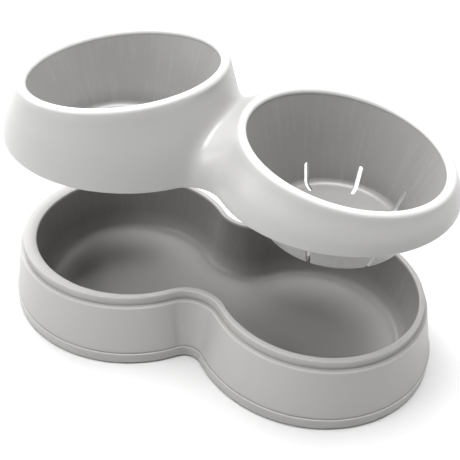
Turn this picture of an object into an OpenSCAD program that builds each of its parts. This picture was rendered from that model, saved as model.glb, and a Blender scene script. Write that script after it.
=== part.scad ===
// Double pet bowl: a figure-eight reservoir tray, and a lift-off top moulded with two tilted bowls.
// Millimetres, +Z up. The origin is on the floor under the middle of the tray.
// The top stands lifted off the tray; set lift to 0 to see it seated.

/* [Figure-eight outline] */
// Distance from the middle to the centre of each lobe
lobe_x = 85; // [78:1:95]
// Radius of each lobe at the mouth of the tray
basin_r = 84; // [72:1:90]
// Radius of the hollow at the waist, at the mouth of the tray
waist_r = 33.4; // [28:0.2:42]
// How much further the end under the raised bowl reaches out, at the ledge
end_swell = 8; // [4:0.5:10]

/* [Reservoir tray] */
// Height of the tray's rim above the floor
rim_z = 61; // [52:1:75]
// Height of the ledge that the top sits on
ledge_z = 52.6; // [46:0.2:54]
// Thickness of the tray's rim
rim_t = 4.2; // [3:0.1:5]
// Width of the ledge outside the rim
ledge_w = 3.6; // [3:0.1:5]
// How far the outer wall leans out from the ledge to the foot band
wall_flare = 9.8; // [4:0.2:11]
// Height of the top of the foot band
band_z = 10.8; // [8:0.2:16]
// How far the foot band stands proud of the wall above it
band_step = 1; // [0.6:0.1:1.6]
// Lean of the basin's wall, from its mouth to its floor
basin_draft = 7; // [3:0.5:10]
// Wall thickness of the tray
tray_t = 2.6; // [2:0.1:3.4]
// Gap between the floor and the lower edge of the tray
edge_gap = 1.2; // [0.8:0.1:2]

/* [Feet] */
// Radius of each rubber foot
foot_r = 9; // [7:0.5:11]
// Height of each rubber foot
foot_h = 5; // [4.4:0.2:6]
// Distance of the feet from the centre of their lobe
foot_ring_r = 55; // [40:1:58]
// Width of the wall round each foot
socket_t = 1.8; // [1.2:0.1:3]
// Depth of each foot's socket
socket_h = 3; // [2:0.2:3.2]
// Gap round each foot in its socket
foot_gap = 0.2; // [0.1:0.05:0.4]
// Angle of the outer feet from the long axis
foot_turn = 60; // [45:1:75]

/* [Top shell] */
// How far the top stands above its seat
lift = 112; // [0:1:150]
// Gap round the tray's rim inside the skirt
rim_gap = 0.6; // [0.4:0.1:1.2]
// Gap under the skirt where the top rests on the ledge
seat_gap = 0.3; // [0.2:0.05:0.5]
// Thickness of the skirt's lower edge outside the tray's rim
skirt_t = 4.2; // [3.8:0.1:5]
// Width of the rebate inside the skirt, which takes the tray's rim
rebate_w = 1.2; // [0.8:0.1:1.6]
// Lean of the skirt at its lower edge, in degrees
skirt_lean = 2; // [1:0.5:4]
// Height of the saddle between the bowls, above the skirt's edge
saddle_z = 37; // [28:1:38]
// Thickness of the saddle
saddle_t = 3.2; // [2.4:0.1:4]

/* [Bowls] */
// Distance from the middle to the centre of each bowl
bowl_x = 89.5; // [88:0.5:96]
// Radius of each bowl at its mouth
mouth_r = 74.4; // [68:0.4:75]
// Radius of the rolled rim
roll_r = 4; // [3:0.25:4.5]
// Outward tilt of each rim, in degrees
rim_tilt = 7.7; // [4:0.1:9]
// Height of the raised bowl's rim above the skirt's edge
high_rim_z = 51; // [46:0.5:58]
// Height of the slotted bowl's rim above the skirt's edge
low_rim_z = 28.5; // [28:0.5:32]
// Underside of the raised bowl, from the skirt's edge
high_foot_z = -12; // [-24:1:-4]
// Underside of the slotted bowl, from the skirt's edge
low_foot_z = -41; // [-43:0.5:-30]
// Radius of each bowl's floor
floor_r = 55; // [48:1:58]
// Wall thickness of the bowls
bowl_t = 2.6; // [2:0.1:3.2]
// Radius between a bowl's floor and its wall
corner_r = 6; // [4:0.5:8]

/* [Slots] */
// Number of slots in the lower bowl
slots = 8; // [4:1:12]
// Angle of the first slot
slot_turn = 40; // [0:1:45]
// Width of a slot
slot_w = 3.6; // [2.4:0.2:5]
// Height of a slot above the bowl's underside
slot_h = 20.5; // [8:0.5:24]
// How far a slot reaches into the bowl's floor
slot_reach = 12; // [4:1:16]

/* [Hidden] */
$fn = 96;
// One overrun for every cut
cut = 1;

// The outline: the hollow's centre lies off the waist, and stays there whatever the offset
hollow_d = basin_r + waist_r;
hollow_y = sqrt(hollow_d * hollow_d - lobe_x * lobe_x);
waist_turn = atan2(hollow_y, lobe_x);

// The swell at an angle from that end, and what is left of it at the foot band
swell_turn = 125;
foot_swell_share = 0.35;
function swell(turn) = abs(turn) < swell_turn ? end_swell * pow(cos(90 * turn / swell_turn), 2) : 0;

// The tray, as outline radii of its lobes
rim_r = basin_r + rim_t;
ledge_r = rim_r + ledge_w;
wall_foot_r = ledge_r + wall_flare;
band_r = wall_foot_r + band_step;
basin_floor_r = basin_r - basin_draft;
basin_floor_z = foot_h + tray_t;
under_ledge_z = ledge_z - tray_t;
edge_round_share = 0.3;
rim_round = rim_t * edge_round_share;
ledge_round = tray_t * edge_round_share;
foot_round_share = 0.12;
foot_round = foot_h * foot_round_share;
floor_let_share = 0.7;

// The top, from its own skirt's edge
top_z = ledge_z + seat_gap + lift;
rebate_r = rim_r + rim_gap;
rebate_z = rim_z - ledge_z - seat_gap + rim_gap;
skirt_r = rebate_r + skirt_t;
skirt_in_r = rebate_r - rebate_w;
flank_swell = 1.25;
bead_r = mouth_r + roll_r;
bead_start = 192;
joint_drop_share = 0.55;
joint_drop = roll_r * joint_drop_share;
saddle_rise_share = 0.6;
saddle_run_share = 0.55;
under_rise_share = 0.3;
under_run_share = 0.45;

// Steps of the tray's sweep, round a lobe and round a hollow
sweep_lobe_steps = 56;
sweep_hollow_steps = 20;

// Steps of the top, round half a lobe and half a hollow, over the saddle, and along a ray
lobe_steps = 22;
hollow_steps = 4;
saddle_steps = 6;
corner_steps = 3;
wall_steps = 3;
bead_steps = 6;
flank_steps = 6;
slot_facets = 24;

// Section of the tray's walls, as distance from a lobe's centre, height and share of the swell: outer
// wall with its foot band, ledge and rim, then the basin's own wall, with the space between them open
// below
tray_section = [
    [band_r, edge_gap, foot_swell_share],
    [band_r, band_z, foot_swell_share],
    [wall_foot_r, band_z, foot_swell_share],
    [ledge_r, ledge_z - ledge_round, 1],
    [ledge_r - ledge_round, ledge_z, 1],
    [rim_r, ledge_z, 1],
    [rim_r, rim_z - rim_round, 1],
    [rim_r - rim_round, rim_z, 1],
    [basin_r + rim_round, rim_z, 0],
    [basin_r, rim_z - rim_round, 0],
    [basin_floor_r, basin_floor_z, 0],
    [basin_floor_r, foot_h, 0],
    [basin_floor_r + tray_t, foot_h, 0],
    [basin_r + tray_t, under_ledge_z, 0],
    [ledge_r - tray_t, under_ledge_z, 1],
    [wall_foot_r - tray_t, band_z, foot_swell_share],
    [band_r - tray_t, edge_gap, foot_swell_share]
];

// Rays out from the outline, each as its foot, direction and swell, once round both lobes and hollows
outline_rays = [for (side = [1, -1]) each concat(
    [for (i = [0 : sweep_lobe_steps - 1])
        let (a = (180 - waist_turn) * (2 * i / sweep_lobe_steps - 1))
        [[side * lobe_x, 0], [side * cos(a), side * sin(a)], side < 0 ? swell(a) : 0]],
    [for (i = [0 : sweep_hollow_steps - 1])
        let (a = waist_turn + (180 - 2 * waist_turn) * i / sweep_hollow_steps,
             d = [side * cos(a), -side * sin(a)])
        [[0, side * hollow_y] + d * hollow_d, -d, 0]])];

// The outline of lobes of radius r
function outline_at(r) = [for (ray = outline_rays) ray[0] + ray[1] * r];

// A section swept round the outline as one closed ring
module round_outline(section) {
    n = len(outline_rays);
    m = len(section);
    polyhedron(
        points = [for (ray = outline_rays) for (p = section)
            let (q = ray[0] + ray[1] * (p[0] + ray[2] * p[2])) [q[0], q[1], p[1]]],
        faces = [for (i = [0 : n - 1]) for (j = [0 : m - 1])
            let (a = i * m + j, b = i * m + (j + 1) % m,
                 c = (i + 1) % n * m + (j + 1) % m, d = (i + 1) % n * m + j)
            for (f = [[a, b, c], [a, c, d]]) f],
        convexity = 8);
}

// Floor of the basin, with its edge let into the walls
module tray_floor() {
    translate([0, 0, foot_h]) linear_extrude(height = tray_t)
        polygon(outline_at(basin_floor_r + tray_t * floor_let_share));
}

// The feet stand on a ring under each lobe
module foot_places(sides, turns) {
    for (side = sides, turn = turns) {
        translate([side * (lobe_x + foot_ring_r * cos(turn)), foot_ring_r * sin(turn), 0]) children();
    }
}

// Ring under the basin's floor that a foot is pressed into
module foot_socket() {
    translate([0, 0, foot_h - socket_h]) difference() {
        cylinder(h = socket_h + tray_t / 2, r = foot_r + foot_gap + socket_t);
        translate([0, 0, -cut]) cylinder(h = socket_h + cut, r = foot_r + foot_gap);
    }
}

module reservoir_tray() {
    color([0.80, 0.79, 0.78]) {
        round_outline(tray_section);
        tray_floor();
        foot_places([-1, 1], [-foot_turn, foot_turn, 180]) foot_socket();
    }
}

// Rubber foot with a rounded tread
module foot() {
    color([0.16, 0.16, 0.17]) {
        cylinder(h = foot_round, r1 = foot_r - foot_round, r2 = foot_r);
        translate([0, 0, foot_round]) cylinder(h = foot_h - foot_round, r = foot_r);
    }
}

// Points for the top. A ray is one section through a bowl, from its floor over the rim to the skirt
// and back underneath. The rays go once round the bowl.
half_steps = lobe_steps + hollow_steps + saddle_steps;
rays = 2 * half_steps;
waist_ray = lobe_steps + hollow_steps;

function on_saddle(k) = (k >= waist_ray) && (k <= rays - waist_ray);
function inside_saddle(k) = (k > waist_ray) && (k < rays - waist_ray);
function folded(k) = k <= half_steps ? k : rays - k;
function side_of(k) = k <= half_steps ? 1 : -1;
function unit(v) = v / norm(v);
function bezier(p, t) = p[0] * pow(1 - t, 3) + 3 * p[1] * t * pow(1 - t, 2)
    + 3 * p[2] * t * t * (1 - t) + p[3] * pow(t, 3);
function bezier_run(p, t) = (p[1] - p[0]) * pow(1 - t, 2) + 2 * (p[2] - p[1]) * t * (1 - t)
    + (p[3] - p[2]) * t * t;

// Lower edge of a half top at height foot_z and its outward normal, for lobes of radius r, with the
// swell or not. Over the saddle it runs along the middle of the saddle, up to height z. The inner edge
// starts higher, at the rebate, and its saddle is flatter, so that the wall keeps its thickness.
function lobe_edge(r, foot_z, turn) = [[lobe_x + r * cos(turn), r * sin(turn), foot_z],
    [cos(turn) * cos(skirt_lean), sin(turn) * cos(skirt_lean), sin(skirt_lean)]];
function hollow_edge(r, foot_z, turn) =
    [[(hollow_d - r) * cos(turn), hollow_y + (hollow_d - r) * sin(turn), foot_z],
     [-cos(turn) * cos(skirt_lean), -sin(turn) * cos(skirt_lean), sin(skirt_lean)]];
function saddle_curve(r, foot_z, z) =
    let (under = foot_z > 0,
         w = hollow_y - (hollow_d - r),
         rise = (z - foot_z) * (under ? under_rise_share : saddle_rise_share),
         run = w * (under ? under_run_share : saddle_run_share))
    [[w, foot_z], [w - rise * tan(skirt_lean), foot_z + rise], [run, z], [0, z]];
function saddle_edge(r, foot_z, z, t) =
    let (c = saddle_curve(r, foot_z, z), q = bezier(c, t), d = unit(bezier_run(c, t)))
    [[0, q[0], q[1]], [0, d[1], -d[0]]];
function half_edge(r, foot_z, z, swollen, k) =
    k <= lobe_steps ? let (turn = (180 - waist_turn) * k / lobe_steps)
        lobe_edge(swollen ? r + swell(turn) : r, foot_z, turn) :
    k <= waist_ray ? hollow_edge(r, foot_z,
        -waist_turn - (90 - waist_turn) * (k - lobe_steps) / hollow_steps) :
    saddle_edge(r, foot_z, z, (k - waist_ray) / saddle_steps);
function edge(r, foot_z, z, swollen, k) =
    let (e = half_edge(r, foot_z, z, swollen, folded(k)), s = side_of(k))
    [[e[0][0], s * e[0][1], e[0][2]], [e[1][0], s * e[1][1], e[1][2]]];

// A point beside the tilted rim: distance from the bowl's axis, and height over the rim's own plane
function rim_out(turn) = [cos(rim_tilt) * cos(turn), sin(turn), -sin(rim_tilt) * cos(turn)];
rim_up = [sin(rim_tilt), 0, cos(rim_tilt)];
function by_rim(z, turn, r, h) = [bowl_x, 0, z] + rim_out(turn) * r + rim_up * h;

// Angle on the rolled rim at which a straight line to the edge leaves it
function leave_angle(z, turn, p) =
    let (d = p - by_rim(z, turn, bead_r, 0), x = d * rim_out(turn), y = d * rim_up)
    atan2(y, x) + acos(roll_r / norm([x, y]));

// Blend from one point to another that leaves straight and arrives along the surface with this normal
function flank(p, q, n, t) = let (d = q - p, a = (d - (d * n) * n) * flank_swell)
    p + d * t + (a - d) * (pow(t, 3) - pow(t, 2));

function bowl_corner(z, r, turn, a) =
    [bowl_x + (r - corner_r + corner_r * sin(a)) * cos(turn),
     (r - corner_r + corner_r * sin(a)) * sin(turn), z + corner_r - corner_r * cos(a)];

function ray(z, foot_z, swollen, k) =
    let (
        e = edge(skirt_r, 0, saddle_z, swollen, k),
        u = edge(skirt_in_r, rebate_z, saddle_z - saddle_t, swollen, k),
        turn = atan2(e[0][1], e[0][0] - lobe_x),
        leave = leave_angle(z, turn, e[0]),
        roll = [for (i = [0 : bead_steps]) let (a = bead_start + (leave - bead_start) * i / bead_steps)
            by_rim(z, turn, bead_r + roll_r * cos(a), roll_r * sin(a))],
        inside = bowl_corner(foot_z + bowl_t, floor_r, turn, 90),
        outside = bowl_corner(foot_z, floor_r + bowl_t, turn, 90),
        last = roll[bead_steps],
        under = by_rim(z, turn, bead_r, -joint_drop)
    ) concat(
        [for (i = [0 : corner_steps]) bowl_corner(foot_z + bowl_t, floor_r, turn, 90 * i / corner_steps)],
        [for (i = [1 : wall_steps - 1]) inside + (roll[0] - inside) * i / wall_steps],
        roll,
        [for (i = [1 : flank_steps]) flank(last, e[0], e[1], i / flank_steps)],
        [for (h = [0, rebate_z]) inside_saddle(k) ? e[0] : edge(rebate_r, h, saddle_z, swollen, k)[0]],
        [for (i = [flank_steps : -1 : 0]) flank(under, u[0], u[1], i / flank_steps)],
        [for (i = [1 : wall_steps - 1]) under + (outside - under) * i / wall_steps],
        [for (i = [corner_steps : -1 : 0]) bowl_corner(foot_z, floor_r + bowl_t, turn, 90 * i / corner_steps)]
    );

rows = 2 * (corner_steps + 1) + 2 * (wall_steps - 1) + (bead_steps + 1) + 2 * flank_steps + 3;
edge_row = (corner_steps + 1) + (wall_steps - 1) + (bead_steps + 1) + flank_steps - 1;
half_points = rays * rows;

// The rows from edge_row to under_row are the skirt's lower edge, the rebate and the inner edge. Both
// halves share them over the saddle, and the strips between them leave the saddle out.
under_row = edge_row + 3;
function shared(k, j) = on_saddle(k) && j >= edge_row && j <= under_row;
function left_out(k, j) = j >= edge_row && j < under_row && on_saddle(k) && on_saddle((k + 1) % rays);
function point_at(half, k, j) =
    let (i = k % rays) (shared(i, j) ? 0 : half * half_points) + i * rows + j;
function facing(half, f) = half == 0 ? f : [for (i = [len(f) - 1 : -1 : 0]) f[i]];
function strip(half, j) = [for (k = [0 : rays - 1])
    if (!left_out(k, j))
        for (f = [[point_at(half, k, j), point_at(half, k + 1, j), point_at(half, k + 1, j + 1)],
                  [point_at(half, k, j), point_at(half, k + 1, j + 1), point_at(half, k, j + 1)]])
            facing(half, f)];

module shell_form() {
    right = [for (k = [0 : rays - 1]) each ray(low_rim_z, low_foot_z, false, k)];
    left = [for (k = [0 : rays - 1]) each [for (p = ray(high_rim_z, high_foot_z, true, k))
        [-p[0], p[1], p[2]]]];
    polyhedron(
        points = concat(right, left),
        faces = [for (half = [0, 1]) each concat(
            [for (j = [0 : rows - 2]) each strip(half, j)],
            [facing(half, [for (k = [rays - 1 : -1 : 0]) point_at(half, k, 0)])],
            [facing(half, [for (k = [0 : rays - 1]) point_at(half, k, rows - 1)])])],
        convexity = 8);
}

// Upright slot with round ends, through the wall and a little way into the floor
module slot_cutter() {
    half_w = slot_w / 2;
    start = floor_r - slot_reach + half_w;
    reach = bead_r - start;
    straight_h = slot_h - half_w;
    translate([start, -half_w, -cut]) cube([reach, slot_w, straight_h + cut]);
    translate([start, 0, -cut]) cylinder(h = straight_h + cut, r = half_w, $fn = slot_facets);
    translate([start, 0, straight_h]) rotate([0, 90, 0]) cylinder(h = reach, r = half_w, $fn = slot_facets);
}

module bowl_top() {
    color([0.88, 0.88, 0.87]) translate([0, 0, top_z]) difference() {
        shell_form();
        translate([bowl_x, 0, low_foot_z]) {
            for (i = [0 : slots - 1]) rotate([0, 0, slot_turn + 360 * i / slots]) slot_cutter();
        }
    }
}

module foot_front_left() { foot_places([-1], [-foot_turn]) foot(); }
module foot_front_right() { foot_places([1], [-foot_turn]) foot(); }
module foot_back_left() { foot_places([-1], [foot_turn]) foot(); }
module foot_back_right() { foot_places([1], [foot_turn]) foot(); }
module foot_middle_left() { foot_places([-1], [180]) foot(); }
module foot_middle_right() { foot_places([1], [180]) foot(); }

reservoir_tray();
bowl_top();
foot_front_left();
foot_front_right();
foot_back_left();
foot_back_right();
foot_middle_left();
foot_middle_right();
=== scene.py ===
import bpy, bmesh
from math import sin, cos, tan, atan2, acos, pi, radians, sqrt, hypot
from mathutils import Vector, Matrix
from mathutils.bvhtree import BVHTree
from mathutils.interpolate import poly_3d_calc


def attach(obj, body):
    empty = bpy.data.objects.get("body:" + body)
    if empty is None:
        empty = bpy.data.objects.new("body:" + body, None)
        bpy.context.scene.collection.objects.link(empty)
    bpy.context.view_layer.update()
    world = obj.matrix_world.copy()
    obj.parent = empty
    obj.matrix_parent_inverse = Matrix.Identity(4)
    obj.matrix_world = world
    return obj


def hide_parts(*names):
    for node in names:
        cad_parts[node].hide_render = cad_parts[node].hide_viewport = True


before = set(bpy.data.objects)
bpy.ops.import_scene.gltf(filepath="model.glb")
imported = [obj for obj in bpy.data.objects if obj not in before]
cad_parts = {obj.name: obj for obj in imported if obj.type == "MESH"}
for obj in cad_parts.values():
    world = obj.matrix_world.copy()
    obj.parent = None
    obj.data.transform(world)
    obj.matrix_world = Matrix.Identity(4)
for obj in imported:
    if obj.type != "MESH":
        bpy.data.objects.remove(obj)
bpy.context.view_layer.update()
mm = 0.001


# ---- camera, at the photograph's view ----
cameraSetup = {
    "azimuth": 18.4, "elevation": 37.4, "roll": 4.0,   # degrees
    "distance": 0.639, "lens": 59.93,                  # metres, and mm on a 36 mm sensor
    "lookAt": (0.0049, 0.0, 0.0904),
}


def addCamera(s):
    az, el, roll = (radians(s[k]) for k in ("azimuth", "elevation", "roll"))
    back = Vector((sin(az) * cos(el), -cos(az) * cos(el), sin(el)))
    right = Vector((cos(az), sin(az), 0))
    up = back.cross(right)
    tiltedRight = right * cos(roll) + up * sin(roll)
    tiltedUp = up * cos(roll) - right * sin(roll)
    data = bpy.data.cameras.new("photoCamera")
    data.lens = s["lens"]
    data.sensor_width = 36
    data.clip_start, data.clip_end = 0.01, 20
    camera = bpy.data.objects.new("photoCamera", data)
    turn = Matrix((tiltedRight, tiltedUp, back)).transposed().to_4x4()
    camera.matrix_world = Matrix.Translation(Vector(s["lookAt"]) + back * s["distance"]) @ turn
    bpy.context.scene.collection.objects.link(camera)
    bpy.context.scene.camera = camera


addCamera(cameraSetup)
print("camera placed")


# ---- small helpers for node trees ----
def addNode(tree, kind, inputs=None, **settings):
    node = tree.nodes.new(kind)
    for name, value in settings.items():
        setattr(node, name, value)
    for key, value in (inputs or {}).items():
        socket = node.inputs[key]
        if isinstance(value, bpy.types.NodeSocket):
            tree.links.new(value, socket)
        else:
            socket.default_value = value
    return node


# a node group whose inputs are (label, kind of socket, default)
def newTree(name, inputs, kind="GeometryNodeTree", outputs=(("Geometry", "Geometry"),)):
    tree = bpy.data.node_groups.new(name, kind)
    for label, socket, value in inputs:
        made = tree.interface.new_socket(label, in_out="INPUT", socket_type="NodeSocket" + socket)
        if value is not None:
            made.default_value = value
    for label, socket in outputs:
        tree.interface.new_socket(label, in_out="OUTPUT", socket_type="NodeSocket" + socket)
    return tree, tree.nodes.new("NodeGroupInput").outputs, tree.nodes.new("NodeGroupOutput").inputs


def linkObject(name, mesh):
    made = bpy.data.objects.new(name, mesh)
    bpy.context.scene.collection.objects.link(made)
    return made


def meshFrom(name, points, faces=(), edges=()):
    mesh = bpy.data.meshes.new(name)
    mesh.from_pydata([[c * mm for c in p] for p in points], list(edges), list(faces))
    mesh.validate()
    return mesh


# runs a tree on an object and gives the finished plain mesh
def runTree(made, tree, values):
    modifier = made.modifiers.new(tree.name, "NODES")
    modifier.node_group = tree
    for item in tree.interface.items_tree:
        if item.item_type == "SOCKET" and item.in_out == "INPUT" and item.name in values:
            modifier[item.identifier] = values[item.name]
    bpy.context.view_layer.update()
    ready = made.evaluated_get(bpy.context.evaluated_depsgraph_get())
    mesh = bpy.data.meshes.new_from_object(ready, preserve_all_data_layers=True,
                                           depsgraph=bpy.context.evaluated_depsgraph_get())
    made.modifiers.clear()
    return mesh


def swapMesh(made, mesh):
    old = made.data
    made.data = mesh
    mesh.name = made.name
    if old.users == 0:
        bpy.data.meshes.remove(old)


# faces outwards, smooth but for edges sharper than this angle
def finishMesh(mesh, sharpAngle=38, mergeAt=2e-6):     # degrees and metres
    work = bmesh.new()
    work.from_mesh(mesh)
    bmesh.ops.remove_doubles(work, verts=work.verts, dist=mergeAt)
    bmesh.ops.recalc_face_normals(work, faces=work.faces)
    openEdges = sum(1 for e in work.edges if len(e.link_faces) != 2)
    work.to_mesh(mesh)
    work.free()
    mesh.shade_smooth()
    mesh.set_sharp_from_angle(angle=radians(sharpAngle))
    return openEdges


# ---- the figure-eight outline that the tray and the top share, in mm ----
outline = {"lobeX": 85.0, "basinR": 84.0, "waistR": 33.4, "endSwell": 8.0, "swellTurn": 125.0}
lobeX, basinR = outline["lobeX"], outline["basinR"]
hollowD = basinR + outline["waistR"]
hollowY = sqrt(hollowD ** 2 - lobeX ** 2)
waistTurn = atan2(hollowY, lobeX)


# how much further the end under the raised bowl reaches out, at an angle from that end
def swell(turn):
    share = abs(turn) / radians(outline["swellTurn"])
    return outline["endSwell"] * cos(pi / 2 * share) ** 2 if share < 1 else 0.0


# closed path at a lobe radius r, anticlockwise from the waist, and the swell of each of its points
def outlinePath(r, lobeSteps, hollowSteps):
    points, swells = [], []
    span = pi - waistTurn
    for side in (1, -1):
        for i in range(lobeSteps):
            a = -span + 2 * span * i / lobeSteps
            points.append((side * (lobeX + r * cos(a)), side * r * sin(a), 0))
            far = swell(a) if side < 0 else 0.0
            swells.append((side * cos(a) * far, side * sin(a) * far, 0))
        for i in range(hollowSteps):
            a = waistTurn + (pi - 2 * waistTurn) * i / hollowSteps
            points.append((side * (hollowD - r) * cos(a), side * (hollowY - (hollowD - r) * sin(a)), 0))
            swells.append((0, 0, 0))
    return points, swells


# ---- tree that sweeps a rounded section along a path and closes its two ends ----
# The object it runs on holds the path (part 0) and the section (part 1) as loose edges. The section
# lies in XY: x is the distance out from the path, y the depth below it. Each path point's swell moves
# the points of the section by their own share of it.
capReach, mergeReach = 0.0002, 2e-6     # metres


def buildSweepTree():
    tree, given, out = newTree("sweepAlongPath", [
        ("Geometry", "Geometry", None), ("Corner Steps", "Int", 4), ("Close Ends", "Bool", True),
        ("First End Height", "Float", 0.0), ("Last End Height", "Float", 0.0),
        ("Material", "Material", None)])

    def stored(name, kind="FLOAT"):
        return addNode(tree, "GeometryNodeInputNamedAttribute", {"Name": name}, data_type=kind).outputs[0]

    def isOne(number):
        return addNode(tree, "FunctionNodeCompare", {2: number, 3: 1}, data_type="INT",
                       operation="EQUAL").outputs[0]

    halves = addNode(tree, "GeometryNodeSeparateGeometry",
                     {"Geometry": given["Geometry"], "Selection": isOne(stored("part", "INT"))})
    # each half keeps only its own attributes, or the sweep would take the path's for the section's
    own = [halves.outputs[0], halves.outputs[1]]
    for half, names in ((0, ("swell",)), (1, ("swellShare", "inside", "rim"))):
        for name in names:
            own[half] = addNode(tree, "GeometryNodeRemoveAttribute",
                                {"Geometry": own[half], "Name": name}).outputs[0]
    section = addNode(tree, "GeometryNodeMeshToCurve", {"Mesh": own[0]})
    path = addNode(tree, "GeometryNodeMeshToCurve", {"Mesh": own[1]})
    rounded = addNode(tree, "GeometryNodeFilletCurve",
                      {"Curve": section.outputs[0], "Count": given["Corner Steps"],
                       "Radius": stored("rounding"), "Limit Radius": True}, mode="POLY")
    upright = addNode(tree, "GeometryNodeSetCurveNormal", {"Curve": path.outputs[0]}, mode="Z_UP")
    swept = addNode(tree, "GeometryNodeCurveToMesh",
                    {"Curve": upright.outputs[0], "Profile Curve": rounded.outputs[0]})
    offset = addNode(tree, "ShaderNodeVectorMath",
                     {0: stored("swell", "FLOAT_VECTOR"), "Scale": stored("swellShare")}, operation="SCALE")
    swollen = addNode(tree, "GeometryNodeSetPosition",
                      {"Geometry": swept.outputs[0], "Offset": offset.outputs[0]})
    faceCount = addNode(tree, "GeometryNodeInputMeshEdgeNeighbors")
    ends = addNode(tree, "GeometryNodeMeshToCurve",
                   {"Mesh": swollen.outputs[0], "Selection": isOne(faceCount.outputs[0])})
    pieces = [swollen.outputs[0]]
    spot = addNode(tree, "GeometryNodeInputPosition")
    height = addNode(tree, "ShaderNodeSeparateXYZ", {0: spot.outputs[0]}).outputs["Z"]
    for end in ("First End Height", "Last End Height"):
        near = addNode(tree, "FunctionNodeCompare", {0: height, 1: given[end], 12: capReach},
                       data_type="FLOAT", operation="EQUAL")
        loop = addNode(tree, "GeometryNodeSeparateGeometry",
                       {"Geometry": ends.outputs[0], "Selection": near.outputs[0]}, domain="POINT")
        cap = addNode(tree, "GeometryNodeFillCurve", {"Curve": loop.outputs[0]}, mode="NGONS")
        lift = addNode(tree, "ShaderNodeCombineXYZ", {"Z": given[end]}).outputs[0]
        lifted = addNode(tree, "GeometryNodeTransform", {"Geometry": cap.outputs[0], "Translation": lift})
        wanted = addNode(tree, "GeometryNodeSwitch",
                         {"Switch": given["Close Ends"], "True": lifted.outputs[0]},
                         input_type="GEOMETRY")
        pieces.append(wanted.outputs[0])
    joined = addNode(tree, "GeometryNodeJoinGeometry")
    for piece in reversed(pieces):
        tree.links.new(piece, joined.inputs[0])
    merged = addNode(tree, "GeometryNodeMergeByDistance",
                     {"Geometry": joined.outputs[0], "Distance": mergeReach})
    realized = addNode(tree, "GeometryNodeRealizeInstances", {"Geometry": merged.outputs[0]})
    finished = addNode(tree, "GeometryNodeSetMaterial",
                       {"Geometry": realized.outputs[0], "Material": given["Material"]})
    tree.links.new(finished.outputs[0], out["Geometry"])
    return tree


sweepTree = buildSweepTree()


# Sweeps a section, a list of (radius, height, rounding, share of the swell, inside mark of painted shade,
# rim mark of painted highlight), round closed paths at pathR. The marks may be left off.
def sweepSection(name, paths, pathR, section, material, closeSection=False, cornerSteps=4, swells=None):
    points, edges = [], []
    for path in paths:
        first = len(points)
        points += path
        edges += [(first + i, first + (i + 1) % len(path)) for i in range(len(path))]
    n, m = len(points), len(section)
    points += [(point[0] - pathR, -point[1], 0) for point in section]
    edges += [(n + i, n + i + 1) for i in range(m - 1)]
    if closeSection:
        edges.append((n + m - 1, n))
    made = linkObject(name, meshFrom(name, points, edges=edges))
    part = made.data.attributes.new("part", "INT", "POINT")
    part.data.foreach_set("value", [0] * n + [1] * m)
    for label, column, unit in (("rounding", 2, mm), ("swellShare", 3, 1), ("inside", 4, 1), ("rim", 5, 1)):
        values = [point[column] * unit if len(point) > column else 0.0 for point in section]
        made.data.attributes.new(label, "FLOAT", "POINT").data.foreach_set("value", [0.0] * n + values)
    moves = (swells or [(0, 0, 0)] * n) + [(0, 0, 0)] * m
    reach = made.data.attributes.new("swell", "FLOAT_VECTOR", "POINT")
    reach.data.foreach_set("vector", [c * mm for move in moves for c in move])
    mesh = runTree(made, sweepTree, {
        "Corner Steps": cornerSteps, "Close Ends": not closeSection, "Material": material,
        "First End Height": section[0][1] * mm, "Last End Height": section[-1][1] * mm})
    swapMesh(made, mesh)
    print(name, "swept,", len(mesh.polygons), "faces, open edges", finishMesh(mesh))
    return made


# ---- shared shader groups ----
def useGroup(tree, group, values):
    return addNode(tree, "ShaderNodeGroup", values, node_tree=group).outputs


def maths(tree, operation, a, b=None, c=None, clamp=False):
    inputs = {i: v for i, v in enumerate((a, b, c)) if v is not None}
    return addNode(tree, "ShaderNodeMath", inputs, operation=operation, use_clamp=clamp).outputs[0]


def mixColour(tree, share, first, second):
    return addNode(tree, "ShaderNodeMix", {"Factor": share, 6: first, 7: second},
                   data_type="RGBA").outputs[2]


def remap(tree, value, low, high, to=(0.0, 1.0)):
    return addNode(tree, "ShaderNodeMapRange", {"Value": value, "From Min": low, "From Max": high,
                                                "To Min": to[0], "To Max": to[1]}).outputs[0]


def objectPlace(tree):
    return addNode(tree, "ShaderNodeTexCoord").outputs["Object"]


# detail and roughness of each noise, and the part of its range that shows, from none to full
noises = {
    "grain": (3.0, 0.6), "cloud": (0.5, 0.4, 0.2, 0.8),     # little detail leaves no crisp outline
    "wearPatch": (5.0, 0.5, 0.3, 0.7), "scratch": (6.0, 0.7, 0.66, 0.8),
    "dustPatch": (8.0, 0.65, 0.4, 0.75), "wipe": (4.0, 0.65, 0.5, 0.72),
}


def noise(tree, kind, where, scale, to=(0.0, 1.0)):
    detail, roughness, *shown = noises[kind]
    value = addNode(tree, "ShaderNodeTexNoise", {"Vector": where, "Scale": scale, "Detail": detail,
                                                 "Roughness": roughness}).outputs["Fac"]
    return remap(tree, value, *shown, to) if shown else value


def meshMark(tree, name):
    return addNode(tree, "ShaderNodeAttribute", attribute_name=name).outputs["Fac"]


# how far the surface looks upwards, 1 on a level face
def facingUp(tree):
    normal = addNode(tree, "ShaderNodeNewGeometry").outputs["Normal"]
    return addNode(tree, "ShaderNodeSeparateXYZ", {0: normal}).outputs["Z"]


def shaderGroup(name, inputs, outputs):
    return newTree(name, [(label, "Float", value) for label, value in inputs.items()],
                   "ShaderNodeTree", [(label, "Float") for label in outputs])


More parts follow.
